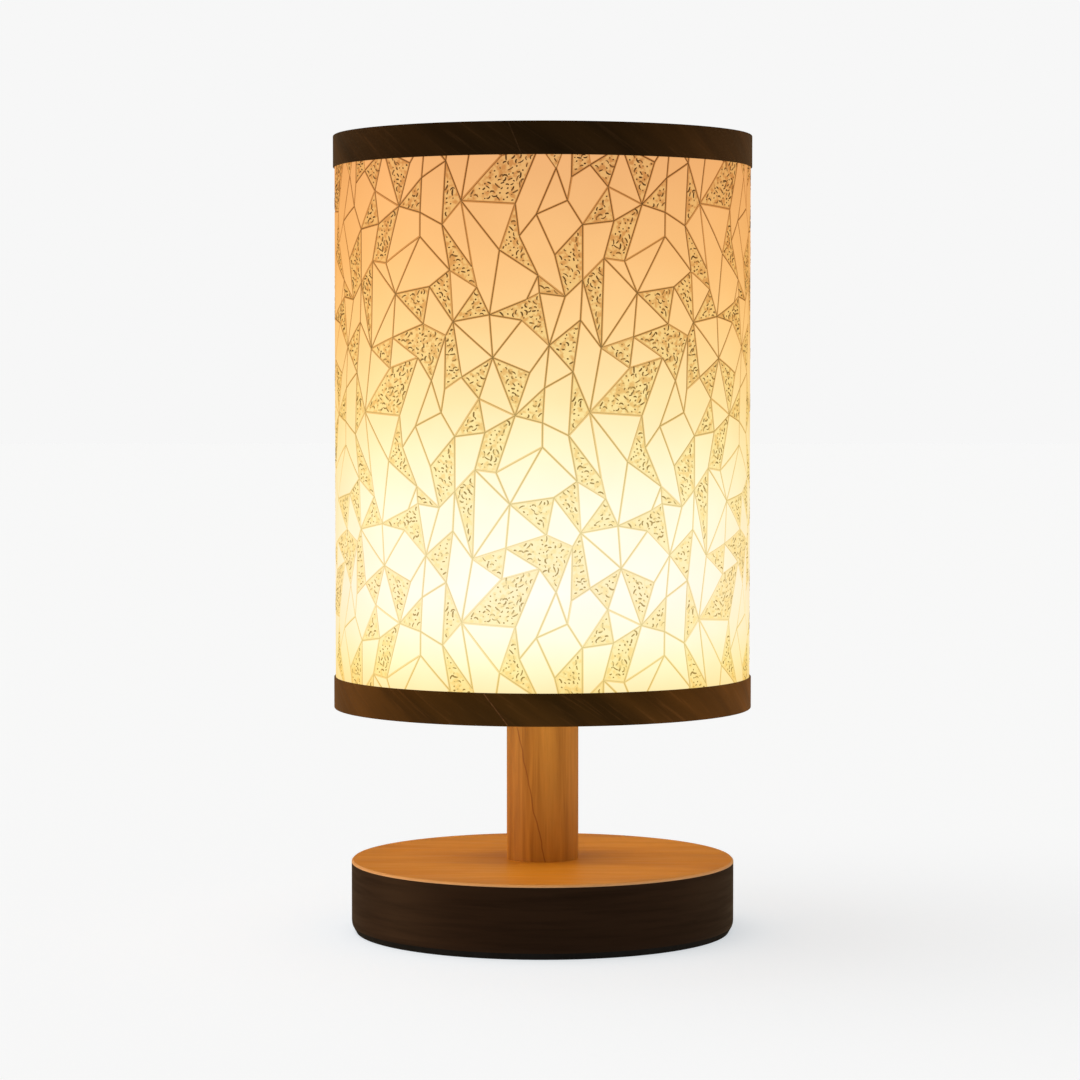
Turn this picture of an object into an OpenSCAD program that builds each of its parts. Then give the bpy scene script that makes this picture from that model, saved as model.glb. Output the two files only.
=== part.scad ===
// Small round table lamp: a drum shade of patterned translucent sheet on a wooden post and disc base.
// Millimetres. Origin: centre of the base's underside, where the lamp stands. +Z up, front towards -Y.

/* [Shade] */
// Outside diameter of the shade over its trim bands
shade_d = 130; // [105:1:170]
// Height of the shade from rim to rim
shade_h = 177.4; // [110:1:260]
// Clear height between the top of the base and the shade's lower rim
shade_gap = 47.5; // [38:0.5:80]
// Thickness of the patterned sheet
sheet_t = 0.5; // [0.3:0.1:1]
// Height of the trim bands round the rims
band_h = 9.8; // [7:0.2:20]
// Thickness of the trim bands
band_t = 0.5; // [0.3:0.1:1]
// Height of the trim band's fold inside the shade
band_fold_h = 4; // [3.4:0.2:7]
// Diameter of the wire of the hoops
wire_d = 2.6; // [2.2:0.1:3.2]
// Diameter of the wire of the arms
arm_d = 2.4; // [1.8:0.1:3]
// Number of arms from the lower hoop to the fitter ring
arm_count = 3; // [3:1:4]
// Height of the fitter ring's underside above the shade's lower rim
fitter_rise = 16.5; // [10:0.5:24]
// Thickness of the fitter ring
fitter_t = 1.2; // [0.8:0.1:2]
// Width of the fitter ring's plate outside the shade ring, where the arms are welded
fitter_edge = 3.5; // [3:0.1:6]
// Width of the lap strip behind the sheet's joint
seam_w = 10; // [6:1:16]
// Thickness of the lap strip
seam_t = 0.3; // [0.2:0.1:0.5]

/* [Base] */
// Diameter of the base
base_d = 119.4; // [96:0.2:160]
// Height of the turned base disc
disc_h = 19.7; // [18:0.1:30]
// Rounding of the base disc's lower edge
disc_round = 5; // [3:0.1:8]
// How much smaller than the disc its flat underside is, on the radius
underside_inset = 0.3; // [0.2:0.1:1]
// Thickness of the light top layer of the base
top_t = 0.8; // [0.6:0.1:1.5]
// Bevel on the edge of the top layer
top_bevel = 0.5; // [0.2:0.1:0.6]
// Thickness of the foam pad under the base
pad_t = 2; // [1:0.1:4]
// How far the pad's side slants in towards the table
pad_slant = 1.1; // [0.2:0.1:3]
// Diameter of the wiring recess in the underside
recess_d = 60; // [58:1:80]
// Depth of the wiring recess
recess_depth = 13; // [13:0.1:15]
// Height of the cord channel's axis above the underside of the disc
channel_rise = 6; // [5.5:0.1:9]

/* [Post] */
// Diameter of the wooden post
post_d = 22.4; // [18:0.2:32]
// Depth of the post's socket, top layer included
socket_depth = 4.8; // [2.5:0.1:5]
// Bevel on the post's top edge
post_bevel = 0.7; // [0.3:0.1:1.2]
// Outside diameter of the threaded tube
tube_d = 10; // [8:0.5:12]
// Bore of the threaded tube
tube_bore = 8; // [6:0.5:8]
// Wall of the tube nut at its flats
nut_w = 2; // [1.5:0.1:3]
// Thickness of the tube nut
nut_t = 3; // [2:0.1:5]
// Width of the washers, from bore to edge
washer_w = 5; // [3.5:0.1:5.5]
// Thickness of the washers
washer_t = 1.2; // [0.8:0.1:2]
// Length of tube that shows past the nut
tube_end = 1; // [0.5:0.1:3]

/* [Lampholder] */
// Diameter of the threaded barrel that carries the shade
barrel_d = 27.8; // [27:0.1:34]
// Step from the barrel out to the holder's cap and skirt
skirt_step = 0.4; // [0.2:0.1:1]
// Height of the holder's cap
cap_h = 6.5; // [6:0.1:10]
// Height of the shade shoulder above the holder's foot
shoulder_rise = 19.2; // [18:0.1:26]
// Width that the shade shoulder stands out from the barrel
shoulder_w = 3.1; // [2:0.1:4]
// Thickness of the shade shoulder
shoulder_t = 2; // [1.5:0.1:3]
// Length of the threaded barrel above the shoulder
barrel_h = 13.6; // [10:0.1:14]
// Wall of the holder's mouldings
holder_wall = 1.6; // [1.2:0.1:2]
// Wall of the screw shell
shell_wall = 0.35; // [0.3:0.05:0.5]
// Thickness of the shade ring, from its bore to its edge
ring_w = 4.5; // [3:0.1:5]
// Height of the shade ring
ring_h = 5; // [4:0.1:7]
// Number of grip notches round the shade ring
ring_notches = 16; // [8:1:24]

/* [Bulb] */
// Length of the bulb from its tip to its top
bulb_len = 52; // [46:1:60]
// Diameter of the bulb's envelope
bulb_d = 25; // [20:0.5:26]
// Diameter of the bulb's screw cap
bulb_cap_d = 13.9; // [13.6:0.05:13.9]
// Height of the bulb's screw cap
bulb_cap_h = 15; // [13:0.1:16]
// Height of the collar between cap and envelope
collar_h = 3.8; // [3:0.1:8]
// Wall of the bulb's envelope
globe_wall = 0.8; // [0.5:0.1:1.2]
// Number of light-emitting chips
chip_count = 6; // [4:1:8]

/* [Wiring] */
// Bore of the cord bush at the back of the base
bush_bore = 6.2; // [5:0.1:7]
// Outside diameter of the cord bush's barrel
bush_d = 8.9; // [8:0.1:10]
// Diameter of the cord bush's flange
bush_flange_d = 12; // [11:0.5:14]
// Length of the cord bush's barrel
bush_len = 18; // [10:0.5:20]
// Thickness of the cord bush's flange
bush_flange_t = 2.2; // [1.5:0.1:3]
// Diameter of the two inner leads
lead_d = 2; // [1.6:0.1:2.2]
// Distance between the two ways of the terminal block
pole_pitch = 8; // [7:0.5:10]
// Width, depth and height of the terminal block
block_size = [16, 16, 11]; // [11:0.5:18]

/* [Fits] */
// Clearance on the radius between glued or screwed parts that stay together
snug = 0.05; // [0.02:0.01:0.1]
// Clearance on the radius between the shade ring and the threaded barrel
ring_play = 0.08; // [0.05:0.01:0.1]
// Clearance on the radius between the bulb's cap and the screw shell
cap_play = 0.1; // [0.05:0.01:0.1]
// Clearance on the radius between the fitter ring and the barrel
fitter_play = 0.6; // [0.4:0.1:1]

/* [Hidden] */
$fn = 96;
eps = 0.01;
// How far a cutting shape runs past what it cuts
over = 1;

// Heights, from the floor up
disc_z = pad_t;
disc_top = disc_z + disc_h;
base_top = disc_top + top_t;
recess_top = disc_z + recess_depth;
post_z = base_top - socket_depth;
shade_z = base_top + shade_gap;
shade_top = shade_z + shade_h;
shoulder_z = shade_z + fitter_rise;
holder_z = shoulder_z - shoulder_rise;
post_top = holder_z - washer_t;
cap_top = holder_z + cap_h;
barrel_top = shoulder_z + barrel_h;
ring_z = shoulder_z + fitter_t;

// Radii
base_r = base_d / 2;
underside_r = base_r - underside_inset;
// Height of the rounding's centre above the underside
round_rise = sqrt(pow(disc_round, 2) - pow(disc_round - underside_inset, 2));
post_r = post_d / 2;
tube_r = tube_d / 2;
barrel_r = barrel_d / 2;
holder_r = barrel_r + skirt_step;
ring_in_r = barrel_r + ring_play;
ring_r = ring_in_r + ring_w;
band_r = shade_d / 2;
sheet_r = band_r - band_t;
sheet_in_r = sheet_r - sheet_t;
wire_r = wire_d / 2;
hoop_r = sheet_in_r - snug - wire_r;
fold_r = hoop_r - wire_r - snug;
fitter_in_r = barrel_r + fitter_play;
fitter_r = ring_r + fitter_edge;
arm_weld = 1.8;
arm_r = fitter_r - arm_weld;
hoop_inset = band_t + snug + wire_r;

// Threaded tube with its nut and washer
washer_z = recess_top - washer_t;
nut_z = washer_z - nut_t;
tube_z = nut_z - tube_end;
nut_r = (tube_r + nut_w) / cos(30);
washer_r = tube_r + washer_w;

// Inside of the lampholder
body_in_r = barrel_r - holder_wall;
insert_r = body_in_r - snug;
spigot_wall = 1.25;
cavity_r = insert_r - spigot_wall;
spigot_h = 2.1;
terminal_size = [3.6, 4.4, 4];
terminal_play = 0.4;
terminal_x = cavity_r - terminal_size[0] - terminal_play;
terminal_mid_x = terminal_x + terminal_size[0] / 2;
clamp_x = terminal_mid_x + 0.8;
boss_h = cap_h + spigot_h - terminal_size[2] - terminal_play / 2;
boss_wall = 1.6;
tube_top = holder_z + boss_h;
insert_t = 3;
insert_z = cap_top + spigot_h;
insert_top = insert_z + insert_t;
shell_in_r = bulb_cap_d / 2 + cap_play;
shell_r = shell_in_r + shell_wall;
insert_tube_r = shell_r + snug + holder_wall;
insert_drop = 2.6;
insert_tube_top = barrel_top - insert_drop;
leaf_t = 0.4;
leaf_rise = 1.8;
leaf_w = 4;
slot_play = 0.3;
rivet_r = 0.8;
clamp_screw_r = 0.8;
clamp_head_r = 1.3;
clamp_head_t = 1;
grub_r = 1.5;
grub_len = 7;
grub_rise = 2.6;
grub_z = holder_z + grub_rise;

// Bulb, screwed home on the centre contact
contact_gap = 0.05;
bulb_z = insert_top + leaf_rise + contact_gap;
tip_r = 2.2;
tip_h = 1;
insulator_h = 3;
bulb_cap_r = bulb_cap_d / 2;
bulb_cap_wall = 0.35;
cap_foot_w = 1.2;
bulb_cap_z = bulb_z + tip_h + insulator_h;
collar_z = bulb_cap_z + bulb_cap_h;
globe_z = collar_z + collar_h;
globe_r = bulb_d / 2;
globe_top = bulb_z + bulb_len;
board_t = 1;
board_gap = 0.3;
chip_size = [2.8, 2.8, 0.7];
chip_ring_r = 6.5;
driver_size = [9, 1, 14];

// Cord bush and terminal block
channel_z = disc_z + channel_rise;
bush_r = bush_d / 2;
bush_sink = 1.5;
bush_seat_y = base_r - bush_sink;
bush_y = bush_seat_y - bush_len;
block_gap = 1;
block_y = washer_r + block_gap;
block_z = recess_top - block_size[2];
port_rise = 2.8;
port_r = 1.9;
port_z = block_z + port_rise;
pole_x = pole_pitch / 2;
screw_y = [for (share = [0.32, 0.68]) block_y + share * block_size[1]];
block_mid_y = block_y + block_size[1] / 2;
sleeve_r = port_r - snug;
sleeve_bore_r = 1.3;
sleeve_inset = 3;
block_screw_r = 1.2;
fixing_r = 1.2;
fixing_head_r = 1.95;
fixing_head_t = 1.6;
fixing_bite = 3;
fixing_sink = 0.4;
fixing_play = 0.2;
screw_play = 0.3;

// Inner leads
lead_r = lead_d / 2;
lead_gap = 0.3;
lead_x = lead_r + lead_gap;
lead_bend_low = 3;
lead_bend_high = 2;
lead_run_z = insert_z - terminal_size[2] / 2;
lead_yaw = atan((pole_x - lead_x) / block_y);
lead_entry = 1.5;
lead_low_run = block_y / cos(lead_yaw) - lead_bend_low + lead_entry;

// ---------------------------------------------------------------- shared shapes

// Tube about Z from height z, between two radii
module tube(r_out, r_in, h, z = 0) {
    translate([0, 0, z])
        difference() {
            cylinder(r = r_out, h = h);
            translate([0, 0, -eps]) cylinder(r = r_in, h = h + 2 * eps);
        }
}

// Driver slot along X, cut upwards from height 0
module driver_slot(length, w, depth) {
    translate([-length / 2, -w / 2, -eps]) cube([length, w, depth + eps]);
}

// Closed ring of round wire about Z
module wire_ring(ring_r, z) {
    translate([0, 0, z])
        rotate_extrude()
            translate([ring_r, 0]) circle(r = wire_r, $fn = 32);
}

// Arms stand at these angles, one of them straight to the back
function arm_angle(i) = 90 + i * 360 / arm_count;

// Section of a rim's trim: outer face, fold over the hoop and short inner face, rim at height 0
module band_section() {
    translate([sheet_r, 0]) square([band_t, band_h]);
    translate([fold_r - band_t, 0]) square([band_r - fold_r + band_t - eps, band_t]);
    translate([fold_r - band_t, 0]) square([band_t, band_fold_h]);
}

// Quarter-turn elbow of lead, from straight up at the origin to level along +X
module lead_elbow(bend_r) {
    translate([bend_r, 0, 0])
        rotate([90, 0, 0])
            rotate([0, 0, 90])
                rotate_extrude(angle = 90, $fn = 64)
                    translate([bend_r, 0]) circle(r = lead_r, $fn = 24);
}

// One inner lead, side -1 or 1: terminal block, up the tube, out to the holder's terminal
module inner_lead(side) {
    low_z = port_z + lead_bend_low;
    high_z = lead_run_z - lead_bend_high;
    high_run = terminal_x + lead_entry - lead_x - lead_bend_high;
    translate([side * lead_x, 0, 0]) {
        translate([0, 0, low_z]) cylinder(r = lead_r, h = high_z - low_z, $fn = 24);
        translate([0, 0, low_z])
            rotate([0, 0, 90 - side * lead_yaw])
                mirror([0, 0, 1]) {
                    lead_elbow(lead_bend_low);
                    translate([lead_bend_low, 0, lead_bend_low])
                        rotate([0, 90, 0]) cylinder(r = lead_r, h = lead_low_run, $fn = 24);
                }
        translate([0, 0, high_z])
            rotate([0, 0, side > 0 ? 0 : 180]) {
                lead_elbow(lead_bend_high);
                translate([lead_bend_high, 0, lead_bend_high])
                    rotate([0, 90, 0]) cylinder(r = lead_r, h = high_run, $fn = 24);
            }
    }
}

// ---------------------------------------------------------------- base

// Foam pad, its side slanting in below the disc's rounded edge
module foot_pad() {
    color("#141312") cylinder(r1 = underside_r - pad_slant, r2 = underside_r, h = pad_t);
}

// Turned disc, stained dark, hollowed for the wiring
module base_disc() {
    color("#2a1a10")
        difference() {
            translate([0, 0, disc_z])
                rotate_extrude()
                    intersection() {
                        square([base_r, disc_h]);
                        union() {
                            square([base_r - disc_round, disc_h]);
                            translate([0, round_rise]) square([base_r, disc_h - round_rise]);
                            translate([base_r - disc_round, round_rise]) circle(r = disc_round, $fn = 96);
                        }
                    }
            translate([0, 0, disc_z - eps]) cylinder(r = recess_d / 2, h = recess_depth + eps);
            cylinder(r = tube_r + snug, h = base_top);
            translate([0, 0, post_z]) cylinder(r = post_r + snug, h = socket_depth + eps);
            translate([0, 0, channel_z]) rotate([-90, 0, 0]) cylinder(r = bush_r + snug, h = base_r + over);
            translate([0, bush_seat_y, channel_z])
                rotate([-90, 0, 0]) cylinder(r = bush_flange_d / 2 + snug, h = base_r);
            translate([0, block_mid_y, recess_top - eps])
                cylinder(r = fixing_r, h = fixing_bite + eps, $fn = 24);
        }
}

// Light wooden layer that makes the base's top face
module base_top_layer() {
    color("#c07a34")
        difference() {
            translate([0, 0, disc_top])
                rotate_extrude()
                    polygon([
                        [0, 0], [base_r, 0], [base_r, top_t - top_bevel],
                        [base_r - top_bevel, top_t], [0, top_t]
                    ]);
            translate([0, 0, disc_top - over]) cylinder(r = post_r + snug, h = top_t + 2 * over);
        }
}

// Bush that the supply cord would pass through
module cord_bush() {
    color("#3a2a1c")
        translate([0, bush_y, channel_z])
            rotate([-90, 0, 0])
                difference() {
                    union() {
                        cylinder(r = bush_r, h = bush_len + eps);
                        translate([0, 0, bush_len]) cylinder(r = bush_flange_d / 2, h = bush_flange_t);
                    }
                    translate([0, 0, -over])
                        cylinder(r = bush_bore / 2, h = bush_len + bush_flange_t + 2 * over);
                }
}

// Two-way terminal block on the recess's ceiling
module terminal_block() {
    color("#e8e4da")
        difference() {
            translate([-block_size[0] / 2, block_y, block_z]) cube(block_size);
            for (side = [-1, 1])
                translate([side * pole_x, block_y - over, port_z])
                    rotate([-90, 0, 0]) cylinder(r = port_r, h = block_size[1] + 2 * over, $fn = 32);
            for (side = [-1, 1], y = screw_y)
                translate([side * pole_x, y, block_z - over])
                    cylinder(r = block_screw_r + screw_play, h = port_rise + over, $fn = 24);
            translate([0, block_mid_y, block_z - over]) {
                cylinder(r = fixing_r + fixing_play, h = block_size[2] + 2 * over, $fn = 24);
                cylinder(r = fixing_head_r + fixing_play, h = fixing_sink + fixing_head_t + over, $fn = 32);
            }
        }
}

// Brass sleeves that clamp the wire ends
module terminal_sleeves() {
    color("#c9a553")
        for (side = [-1, 1])
            difference() {
                translate([side * pole_x, block_y + sleeve_inset, port_z])
                    rotate([-90, 0, 0])
                        cylinder(r = sleeve_r, h = block_size[1] - 2 * sleeve_inset, $fn = 32);
                translate([side * pole_x, block_y, port_z])
                    rotate([-90, 0, 0]) cylinder(r = sleeve_bore_r, h = block_size[1], $fn = 32);
                for (y = screw_y)
                    translate([side * pole_x, y, block_z])
                        cylinder(r = block_screw_r, h = port_rise, $fn = 24);
            }
}

// Clamping screws, reached from below
module terminal_screws() {
    sink = 0.3;
    reach = 0.6;
    color("#b8bcc0")
        for (side = [-1, 1], y = screw_y)
            translate([side * pole_x, y, block_z + sink])
                difference() {
                    cylinder(r = block_screw_r - snug, h = port_rise - sleeve_bore_r + reach, $fn = 24);
                    driver_slot(2 * block_screw_r, 0.4, 0.6);
                }
}

// Wood screw that holds the terminal block
module block_fixing_screw() {
    color("#b8bcc0")
        translate([0, block_mid_y, block_z + fixing_sink]) {
            difference() {
                cylinder(r = fixing_head_r, h = fixing_head_t, $fn = 32);
                driver_slot(2 * fixing_head_r, 0.7, 0.6);
            }
            translate([0, 0, fixing_head_t - eps])
                cylinder(
                    r = fixing_r - snug,
                    h = block_size[2] + fixing_bite - fixing_head_t - 2 * fixing_sink, $fn = 24
                );
        }
}

// ---------------------------------------------------------------- post and tube

// Wooden post, glued into the base's socket
module post() {
    color("#b87333")
        difference() {
            translate([0, 0, post_z])
                rotate_extrude()
                    polygon([
                        [0, 0], [post_r, 0], [post_r, post_top - post_z - post_bevel],
                        [post_r - post_bevel, post_top - post_z], [0, post_top - post_z]
                    ]);
            cylinder(r = tube_r + snug, h = post_top + over);
        }
}

// Threaded tube that clamps base, post and lampholder together
module threaded_tube() {
    color("#b0b3b5") tube(tube_r, tube_bore / 2, tube_top - tube_z, tube_z);
}

// Hexagon nut in the recess
module tube_nut() {
    color("#a9adb0")
        translate([0, 0, nut_z])
            difference() {
                cylinder(r = nut_r, h = nut_t, $fn = 6);
                translate([0, 0, -over]) cylinder(r = tube_r + snug, h = nut_t + 2 * over);
            }
}

// Washer between the nut and the disc
module tube_washer() {
    color("#b5b8ba") tube(washer_r, tube_r + snug, washer_t, washer_z);
}

// Washer between the post and the lampholder
module seat_washer() {
    color("#b5b8ba") tube(washer_r, tube_r + snug, washer_t, post_top);
}

module lead_live() {
    color("#7a4a2a") inner_lead(-1);
}

module lead_neutral() {
    color("#4a7fb5") inner_lead(1);
}

// ---------------------------------------------------------------- lampholder

// Cap with a threaded boss for the tube
module holder_cap() {
    flare = 2.6;
    color("#f2efe8")
        difference() {
            union() {
                translate([0, 0, holder_z]) cylinder(r1 = cavity_r, r2 = holder_r, h = flare);
                translate([0, 0, holder_z + flare - eps])
                    cylinder(r = holder_r, h = cap_h - flare + eps);
                translate([0, 0, cap_top - eps]) cylinder(r = insert_r, h = spigot_h + eps);
            }
            tube(cavity_r, tube_r + snug + boss_wall, cap_h + spigot_h, holder_z + holder_wall);
            translate([0, 0, tube_top]) cylinder(r = cavity_r, h = cap_h + spigot_h);
            translate([0, 0, holder_z - over]) cylinder(r = tube_r + snug, h = boss_h + 2 * over);
            translate([0, tube_r, grub_z])
                rotate([-90, 0, 0]) cylinder(r = grub_r, h = holder_r, $fn = 24);
        }
}

// Set screw that locks the cap on the tube
module cap_grub_screw() {
    color("#8f9396")
        translate([0, tube_r + snug, grub_z])
            rotate([-90, 0, 0])
                difference() {
                    cylinder(r = grub_r - snug, h = grub_len, $fn = 24);
                    translate([0, 0, grub_len]) mirror([0, 0, 1]) driver_slot(2 * grub_r, 0.6, 0.8);
                }
}

// Outer shell with the shade's shoulder and threaded barrel
module holder_body() {
    ledge_w = 1.2;
    ledge_t = 1;
    color("#f2efe8")
        difference() {
            union() {
                translate([0, 0, cap_top]) cylinder(r = holder_r, h = shoulder_z - cap_top);
                translate([0, 0, shoulder_z - shoulder_t])
                    cylinder(r = barrel_r + shoulder_w, h = shoulder_t);
                translate([0, 0, shoulder_z - eps]) cylinder(r = barrel_r, h = barrel_h + eps);
            }
            translate([0, 0, cap_top - over]) cylinder(r = body_in_r, h = insert_top - cap_top + over);
            translate([0, 0, insert_top - eps]) cylinder(r = body_in_r - ledge_w, h = ledge_t + 2 * eps);
            translate([0, 0, insert_top + ledge_t]) cylinder(r = body_in_r, h = barrel_top);
        }
}

// Insulating core that carries the screw shell and the contacts
module holder_insert() {
    slot_w = leaf_w + 2 * slot_play;
    color("#faf7ef")
        difference() {
            union() {
                translate([0, 0, insert_z]) cylinder(r = insert_r, h = insert_t);
                translate([0, 0, insert_top - eps])
                    cylinder(r = insert_tube_r, h = insert_tube_top - insert_top + eps);
            }
            translate([0, 0, insert_top])
                cylinder(r = shell_r + snug, h = insert_tube_top - insert_top + over);
            translate([-insert_tube_r - over, -slot_w / 2, insert_top])
                cube([2 * (insert_tube_r + over), slot_w, leaf_t + slot_play]);
            for (side = [-1, 1])
                translate([side * terminal_mid_x, 0, insert_z - over])
                    cylinder(r = rivet_r + snug, h = insert_t + 2 * over, $fn = 24);
        }
}

// Threaded shell that takes the bulb, with its tab to the terminal
module screw_shell() {
    gap_under = leaf_t + slot_play + 0.3;
    tab_end = terminal_x + terminal_size[0];
    color("#c9a553") {
        tube(shell_r, shell_in_r, insert_tube_top - insert_top - gap_under, insert_top + gap_under);
        difference() {
            union() {
                translate([shell_in_r - 1, -leaf_w / 2, insert_top])
                    cube([tab_end - shell_in_r + 1, leaf_w, leaf_t]);
                translate([shell_in_r - 1, -leaf_w / 2, insert_top])
                    cube([shell_r - shell_in_r + 0.7, leaf_w, gap_under + 1]);
            }
            translate([0, 0, insert_top + leaf_t]) cylinder(r = shell_in_r, h = gap_under + 1);
        }
    }
}

// Sprung tongue under the bulb's tip
module centre_contact() {
    foot_x = -terminal_x - terminal_size[0];
    rise_x = -5;
    tip_x = -1.6;
    color("#d0ad5c")
        translate([0, leaf_w / 2, insert_top])
            rotate([90, 0, 0])
                linear_extrude(height = leaf_w)
                    polygon([
                        [foot_x, 0], [rise_x, 0], [tip_x, leaf_rise - leaf_t], [1.6, leaf_rise - leaf_t],
                        [3, 0.4], [3.4, 0.6], [1.9, leaf_rise], [tip_x - 0.1, leaf_rise],
                        [rise_x - 0.1, leaf_t], [foot_x, leaf_t]
                    ]);
}

// Brass terminals riveted through the core
module holder_terminals() {
    color("#c9a553")
        for (side = [-1, 1])
            rotate([0, 0, side > 0 ? 0 : 180])
                difference() {
                    union() {
                        translate([terminal_x, -terminal_size[1] / 2, insert_z - terminal_size[2]])
                            cube(terminal_size);
                        translate([terminal_mid_x, 0, insert_z - eps])
                            cylinder(r = rivet_r, h = insert_t + eps, $fn = 24);
                    }
                    translate([terminal_x - over, 0, lead_run_z])
                        rotate([0, 90, 0]) cylinder(r = lead_r + snug, h = lead_entry + 1.6, $fn = 24);
                    translate([clamp_x, 0, insert_z - terminal_size[2] - over])
                        cylinder(r = clamp_screw_r, h = 2 * over, $fn = 24);
                }
}

module holder_terminal_screws() {
    color("#b8bcc0")
        for (side = [-1, 1])
            rotate([0, 0, side > 0 ? 0 : 180])
                translate([clamp_x, 0, insert_z - terminal_size[2] - clamp_head_t]) {
                    difference() {
                        cylinder(r = clamp_head_r, h = clamp_head_t, $fn = 24);
                        driver_slot(3 * clamp_head_r, 0.5, 0.5);
                    }
                    cylinder(r = clamp_screw_r - snug, h = clamp_head_t + 0.9, $fn = 24);
                }
}

// ---------------------------------------------------------------- shade

// Lower hoop, arms and fitter ring, welded into one
module shade_spider() {
    hoop_z = shade_z + hoop_inset;
    arm_z = shoulder_z + fitter_t / 2;
    drop = arm_z - hoop_z;
    run = hoop_r - arm_r;
    color("#d9dadb") {
        difference() {
            union() {
                tube(fitter_r, fitter_in_r, fitter_t, shoulder_z);
                for (i = [0 : arm_count - 1])
                    rotate([0, 0, arm_angle(i)])
                        translate([arm_r, 0, arm_z])
                            rotate([0, 90 + atan(drop / run), 0])
                                cylinder(r = arm_d / 2, h = norm([drop, run]), $fn = 32);
            }
            translate([0, 0, ring_z]) cylinder(r = fitter_r, h = arm_d);
        }
        wire_ring(hoop_r, hoop_z);
    }
}

module upper_hoop() {
    color("#d9dadb") wire_ring(hoop_r, shade_top - hoop_inset);
}

// Patterned translucent sheet, rolled into a drum
module shade_sheet() {
    color("#f6d59a") tube(sheet_r, sheet_in_r, shade_h - 2 * band_t, shade_z + band_t);
}

// Strip that backs the joint of the sheet, at the back between the hoops
module seam_strip() {
    strip_gap = 0.5;
    clear = hoop_inset + wire_r + strip_gap;
    half_angle = asin(seam_w / 2 / sheet_in_r);
    color("#efe0bd")
        translate([0, 0, shade_z + clear])
            rotate([0, 0, 90 - half_angle])
                rotate_extrude(angle = 2 * half_angle)
                    translate([sheet_in_r - seam_t, 0]) square([seam_t, shade_h - 2 * clear]);
}

module top_band() {
    color("#33200f")
        translate([0, 0, shade_top])
            mirror([0, 0, 1])
                rotate_extrude() band_section();
}

// The fold is notched where the arms reach the hoop
module bottom_band() {
    color("#33200f")
        difference() {
            translate([0, 0, shade_z]) rotate_extrude() band_section();
            for (i = [0 : arm_count - 1])
                rotate([0, 0, arm_angle(i)])
                    translate([fold_r - band_t - over, -arm_d, shade_z + band_t])
                        cube([band_t + 2 * over, 2 * arm_d, band_fold_h]);
        }
}

// Ring that screws down on the fitter ring
module shade_ring() {
    ring_bevel = 1.2;
    notch_r = 1.3;
    notch_out = 0.3;
    color("#f2efe8")
        difference() {
            translate([0, 0, ring_z])
                rotate_extrude()
                    polygon([
                        [ring_in_r, 0], [ring_r, 0], [ring_r, ring_h - ring_bevel],
                        [ring_r - ring_bevel, ring_h], [ring_in_r, ring_h]
                    ]);
            for (i = [0 : ring_notches - 1])
                rotate([0, 0, (i + 0.5) * 360 / ring_notches])
                    translate([ring_r + notch_out, 0, ring_z - over])
                        cylinder(r = notch_r, h = ring_h + 2 * over, $fn = 24);
        }
}

// ---------------------------------------------------------------- bulb

// Solder tip that meets the centre contact
module bulb_tip() {
    color("#c8cacc")
        translate([0, 0, bulb_z]) cylinder(r1 = tip_r - 0.6, r2 = tip_r, h = tip_h, $fn = 48);
}

module bulb_insulator() {
    color("#1c1c1e")
        translate([0, 0, bulb_z + tip_h])
            cylinder(r1 = tip_r + 0.4, r2 = bulb_cap_r - cap_foot_w, h = insulator_h, $fn = 64);
}

// Screw cap, rounded at its foot
module bulb_cap() {
    foot_h = 1.2;
    color("#c9ccce")
        translate([0, 0, bulb_cap_z])
            rotate_extrude()
                polygon([
                    [bulb_cap_r - cap_foot_w - bulb_cap_wall, 0], [bulb_cap_r - cap_foot_w, 0],
                    [bulb_cap_r, foot_h], [bulb_cap_r, bulb_cap_h],
                    [bulb_cap_r - bulb_cap_wall, bulb_cap_h],
                    [bulb_cap_r - bulb_cap_wall, foot_h]
                ]);
}

// Moulded collar with a spigot inside the cap
module bulb_collar() {
    spigot_r = bulb_cap_r - bulb_cap_wall - snug;
    spigot_len = 5;
    spigot_t = 1;
    color("#f5f4f0")
        translate([0, 0, collar_z])
            difference() {
                union() {
                    translate([0, 0, -spigot_len]) cylinder(r = spigot_r, h = spigot_len + eps);
                    cylinder(r1 = bulb_cap_r + 0.3, r2 = globe_r, h = collar_h);
                }
                translate([0, 0, -spigot_len - over])
                    cylinder(r = spigot_r - spigot_t, h = spigot_len + 2 * over);
            }
}

module bulb_led_board() {
    color("#dfe3e6")
        translate([0, 0, globe_z])
            cylinder(r = globe_r - globe_wall - board_gap, h = board_t);
}

module bulb_led_chips() {
    color("#f5e27a")
        for (i = [0 : chip_count - 1])
            rotate([0, 0, i * 360 / chip_count])
                translate([chip_ring_r - chip_size[0] / 2, -chip_size[1] / 2, globe_z + board_t])
                    cube(chip_size);
}

module bulb_driver_board() {
    color("#2f6b3f")
        translate([-driver_size[0] / 2, -driver_size[1] / 2, bulb_cap_z + 2])
            cube(driver_size);
}

// Frosted envelope with a round top
module bulb_globe() {
    dome_z = globe_top - globe_r;
    color("#fff6e0")
        difference() {
            union() {
                translate([0, 0, globe_z]) cylinder(r = globe_r, h = dome_z - globe_z);
                translate([0, 0, dome_z])
                    rotate_extrude()
                        intersection() {
                            circle(r = globe_r);
                            square(globe_r + 1);
                        }
            }
            translate([0, 0, globe_z - eps])
                cylinder(r = globe_r - globe_wall, h = dome_z - globe_z + 2 * eps);
            translate([0, 0, dome_z])
                rotate_extrude()
                    intersection() {
                        circle(r = globe_r - globe_wall);
                        square(globe_r + 1);
                    }
        }
}

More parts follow.
